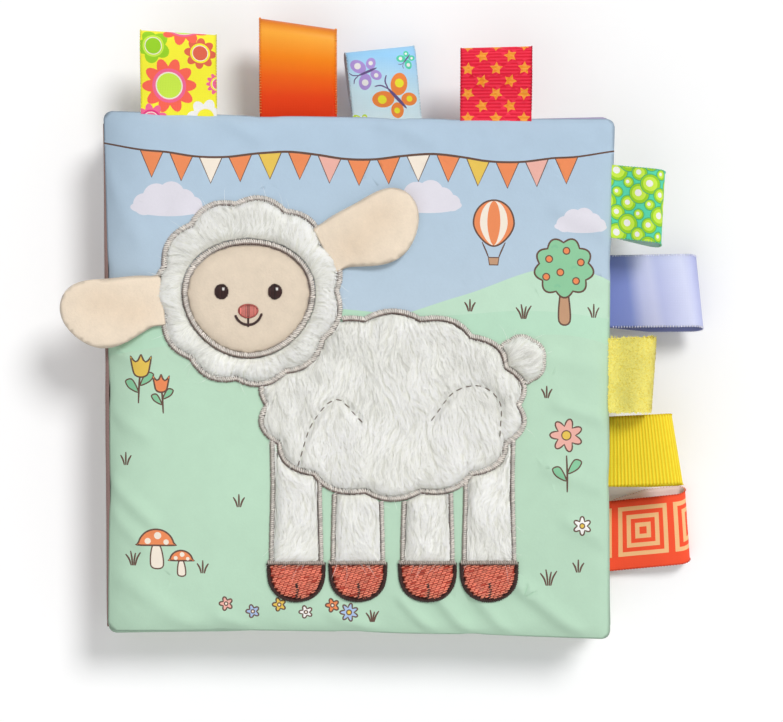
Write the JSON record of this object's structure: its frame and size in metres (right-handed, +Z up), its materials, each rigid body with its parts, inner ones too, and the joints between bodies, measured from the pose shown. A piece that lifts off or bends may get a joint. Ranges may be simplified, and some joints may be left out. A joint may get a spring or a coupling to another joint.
{
  "type": "crinkle cloth book",
  "caption": "Square padded cloth book with leaves that turn at a cloth spine, a plush lamb with free ears on the cover and ribbon loops along two edges.",
  "frame": {"origin": "middle of the flat on the back cover that the closed book lies on", "axes": "+X from the spine to the fore edge, +Y towards the head of the book, +Z up out of the front cover"},
  "size_m": [0.1915, 0.1842, 0.0305],
  "materials": {
    "printed_cloth": "matt printed polyester",
    "page_cloth": "matt printed polyester",
    "batting": "loose polyester wadding",
    "crinkle_film": "thin clear polyester film",
    "squeaker_plastic": "soft moulded polyethylene",
    "fleece": "short white plush pile",
    "velour": "beige velour",
    "border_thread": "taupe satin stitch",
    "hoof_thread": "coral embroidery thread",
    "dark_thread": "dark brown embroidery thread",
    "nose_thread": "pink embroidery thread",
    "flower_ribbon": "printed grosgrain",
    "orange_satin_ribbon": "orange satin",
    "blue_ribbon": "printed grosgrain",
    "star_ribbon": "printed grosgrain",
    "green_ribbon": "printed grosgrain",
    "lilac_satin_ribbon": "lilac satin",
    "yellow_plush_ribbon": "yellow plush",
    "yellow_grosgrain_ribbon": "ribbed grosgrain",
    "square_ribbon": "printed satin"
  },
  "bodies": {
    "back_cover": {"back_cover_upper_cloth": "page_cloth", "back_cover_lower_cloth": "printed_cloth", "back_cover_batting": "batting", "spine_cloth": "printed_cloth"},
    "rear_leaf": {"rear_leaf_upper_cloth": "page_cloth", "rear_leaf_lower_cloth": "page_cloth", "rear_leaf_batting": "batting", "rear_leaf_crinkle_film": "crinkle_film"},
    "front_leaf": {"front_leaf_upper_cloth": "page_cloth", "front_leaf_lower_cloth": "page_cloth", "front_leaf_batting": "batting", "front_leaf_crinkle_film": "crinkle_film"},
    "front_cover": {"front_cover_upper_cloth": "printed_cloth", "front_cover_lower_cloth": "page_cloth", "front_cover_batting": "batting", "squeaker_bulb": "squeaker_plastic", "squeaker_reed": "squeaker_plastic", "lamb_head_fleece": "fleece", "lamb_body_fleece": "fleece", "lamb_tail_fleece": "fleece", "lamb_near_front_leg": "fleece", "lamb_near_front_hoof": "hoof_thread", "lamb_far_front_leg": "fleece", "lamb_far_front_hoof": "hoof_thread", "lamb_near_hind_leg": "fleece", "lamb_near_hind_hoof": "hoof_thread", "lamb_far_hind_leg": "fleece", "lamb_far_hind_hoof": "hoof_thread", "lamb_face_velour": "velour", "head_border_stitch": "border_thread", "face_border_stitch": "border_thread", "body_border_stitch": "border_thread", "left_eye_stitch": "dark_thread", "right_eye_stitch": "dark_thread", "mouth_stitch": "dark_thread", "nose_stitch": "nose_thread"},
    "flower_ribbon": {"flower_ribbon": "flower_ribbon"},
    "orange_satin_ribbon": {"orange_satin_ribbon": "orange_satin_ribbon"},
    "blue_ribbon": {"blue_ribbon": "blue_ribbon"},
    "star_ribbon": {"star_ribbon": "star_ribbon"},
    "green_ribbon": {"green_ribbon": "green_ribbon"},
    "lilac_satin_ribbon": {"lilac_satin_ribbon": "lilac_satin_ribbon"},
    "yellow_plush_ribbon": {"yellow_plush_ribbon": "yellow_plush_ribbon"},
    "yellow_grosgrain_ribbon": {"yellow_grosgrain_ribbon": "yellow_grosgrain_ribbon"},
    "square_ribbon": {"square_ribbon": "square_ribbon"},
    "left_ear": {"left_ear": "velour"},
    "right_ear": {"right_ear": "velour"}
  },
  "joints": [
    {"name": "rear_leaf_turn", "type": "hinge", "parent": "back_cover", "child": "rear_leaf", "pos_m": [-0.0766, 0, 0.0134], "axis": [0, -1, 0], "range_deg": [0, 180], "deforming": ["spine_cloth"]},
    {"name": "front_leaf_turn", "type": "hinge", "parent": "rear_leaf", "child": "front_leaf", "pos_m": [-0.0766, 0, 0.0134], "axis": [0, -1, 0], "range_deg": [0, 180]},
    {"name": "front_cover_turn", "type": "hinge", "parent": "front_leaf", "child": "front_cover", "pos_m": [-0.0766, 0, 0.0134], "axis": [0, -1, 0], "range_deg": [0, 180]},
    {"name": "flower_ribbon_bend", "type": "hinge", "parent": "front_cover", "child": "flower_ribbon", "pos_m": [-0.05404, 0.07865, 0.0236], "axis": [1, 0, 0], "range_deg": [-60, 60], "stiffness_Nm_per_rad": 0.0015},
    {"name": "orange_satin_ribbon_bend", "type": "hinge", "parent": "front_leaf", "child": "orange_satin_ribbon", "pos_m": [-0.01847, 0.07786, 0.0168], "axis": [1, 0, 0], "range_deg": [-60, 60], "stiffness_Nm_per_rad": 0.0015},
    {"name": "blue_ribbon_bend", "type": "hinge", "parent": "rear_leaf", "child": "blue_ribbon", "pos_m": [0.00844, 0.07773, 0.01], "axis": [1, 0, 0], "range_deg": [-60, 60], "stiffness_Nm_per_rad": 0.0015},
    {"name": "star_ribbon_bend", "type": "hinge", "parent": "front_cover", "child": "star_ribbon", "pos_m": [0.04119, 0.07828, 0.0236], "axis": [1, 0, 0], "range_deg": [-60, 60], "stiffness_Nm_per_rad": 0.0015},
    {"name": "green_ribbon_bend", "type": "hinge", "parent": "front_cover", "child": "green_ribbon", "pos_m": [0.07652, 0.05171, 0.0236], "axis": [0, -1, 0], "range_deg": [-60, 60], "stiffness_Nm_per_rad": 0.0015},
    {"name": "lilac_satin_ribbon_bend", "type": "hinge", "parent": "rear_leaf", "child": "lilac_satin_ribbon", "pos_m": [0.07594, 0.02543, 0.01], "axis": [0, -1, 0], "range_deg": [-60, 60], "stiffness_Nm_per_rad": 0.0015},
    {"name": "yellow_plush_ribbon_bend", "type": "hinge", "parent": "front_cover", "child": "yellow_plush_ribbon", "pos_m": [0.07568, 0.00031, 0.0236], "axis": [0, -1, 0], "range_deg": [-60, 60], "stiffness_Nm_per_rad": 0.0015},
    {"name": "yellow_grosgrain_ribbon_bend", "type": "hinge", "parent": "front_leaf", "child": "yellow_grosgrain_ribbon", "pos_m": [0.0759, -0.02262, 0.0168], "axis": [0, -1, 0], "range_deg": [-60, 60], "stiffness_Nm_per_rad": 0.0015},
    {"name": "square_ribbon_bend", "type": "hinge", "parent": "back_cover", "child": "square_ribbon", "pos_m": [0.07641, -0.0475, 0.0032], "axis": [0, -1, 0], "range_deg": [-60, 60], "stiffness_Nm_per_rad": 0.0015},
    {"name": "left_ear_fold", "type": "hinge", "parent": "front_cover", "child": "left_ear", "pos_m": [-0.06202, 0.02199, 0.0301], "axis": [-0.1045, 0.9945, 0], "range_deg": [0, 155]},
    {"name": "right_ear_fold", "type": "hinge", "parent": "front_cover", "child": "right_ear", "pos_m": [-0.0072, 0.03875, 0.0301], "axis": [0.4695, -0.8829, 0], "range_deg": [0, 155]}
  ]
}
